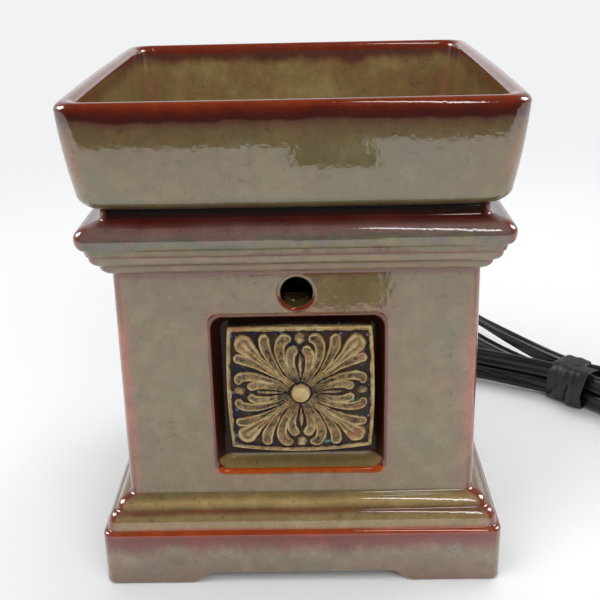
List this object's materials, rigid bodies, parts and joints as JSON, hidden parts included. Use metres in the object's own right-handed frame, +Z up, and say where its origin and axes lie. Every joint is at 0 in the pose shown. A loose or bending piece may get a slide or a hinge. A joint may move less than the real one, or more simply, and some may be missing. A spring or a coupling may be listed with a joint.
{
  "type": "wax melt warmer",
  "caption": "Square glazed stoneware wax melt warmer with a loose wax dish, a relief tile in its front, a globe lamp inside, and a black lead with an in-line switch, tied in a hank.",
  "frame": {"origin": "middle of the underside of the pedestal, on the surface that it stands on", "axes": "-Y out of the front with the tile, +X to the viewer's right, +Z up"},
  "size_m": [0.2895, 0.2647, 0.1539],
  "materials": {
    "glaze": "gloss reactive glaze, taupe breaking to rust red on the edges",
    "antique_gold": "antique gold rubbed over a dark ground",
    "adhesive": "matt",
    "clear_glass": "polished",
    "cap_metal": "satin",
    "black_glass": "gloss",
    "solder": "satin",
    "wire": "satin",
    "holder_black": "satin",
    "holder_brass": "satin",
    "steel": "zinc plated",
    "lead_black": "satin",
    "bushing_black": "matt",
    "tie_black": "matt",
    "switch_black": "satin",
    "plug_black": "satin",
    "blade_brass": "plated"
  },
  "bodies": {
    "warmer": {"warmer_base": "glaze", "medallion_tile": "antique_gold", "tile_adhesive": "adhesive", "socket_body": "holder_black", "socket_screw_shell": "holder_brass", "socket_centre_contact": "holder_brass", "threaded_nipple": "steel", "nipple_washer": "steel", "nipple_nut": "steel", "cord_internal": "lead_black", "cord_bushing": "bushing_black", "cord_lead": "lead_black", "cord_mid": "lead_black", "cord_hank": "lead_black", "cord_tie": "tie_black", "cord_tail": "lead_black", "switch_lower": "switch_black", "switch_upper": "switch_black", "switch_axle": "steel", "switch_screws": "steel", "plug_body": "plug_black", "plug_blades": "blade_brass"},
    "dish": {"wax_dish": "glaze"},
    "lamp_tip": {"bulb_tip_contact": "solder"},
    "lamp": {"bulb_glass": "clear_glass", "bulb_shell": "cap_metal", "bulb_insulator": "black_glass", "bulb_stem": "clear_glass", "bulb_lead_wires": "wire", "bulb_filament": "wire"},
    "switch_wheel": {"switch_wheel": "switch_black"}
  },
  "joints": [
    {"name": "dish_lift", "type": "slide", "parent": "warmer", "child": "dish", "axis": [0, 0, 1], "range_m": [0, 0.06]},
    {"name": "bulb_rise", "type": "slide", "parent": "warmer", "child": "lamp_tip", "axis": [0, 0, 1], "range_m": [0, 0.00762]},
    {"name": "bulb_turn", "type": "hinge", "parent": "lamp_tip", "child": "lamp", "pos_m": [0, 0, 0.04], "axis": [0, 0, 1], "range_deg": [0, 1080]},
    {"name": "switch_turn", "type": "hinge", "parent": "warmer", "child": "switch_wheel", "pos_m": [-0.00712, 0.1358, 0.006], "axis": [0, 0, 1], "continuous": true}
  ],
  "couplings": [
    {"joint": "bulb_rise", "follows": "bulb_turn", "m_per_rad": 0.00040425}
  ]
}
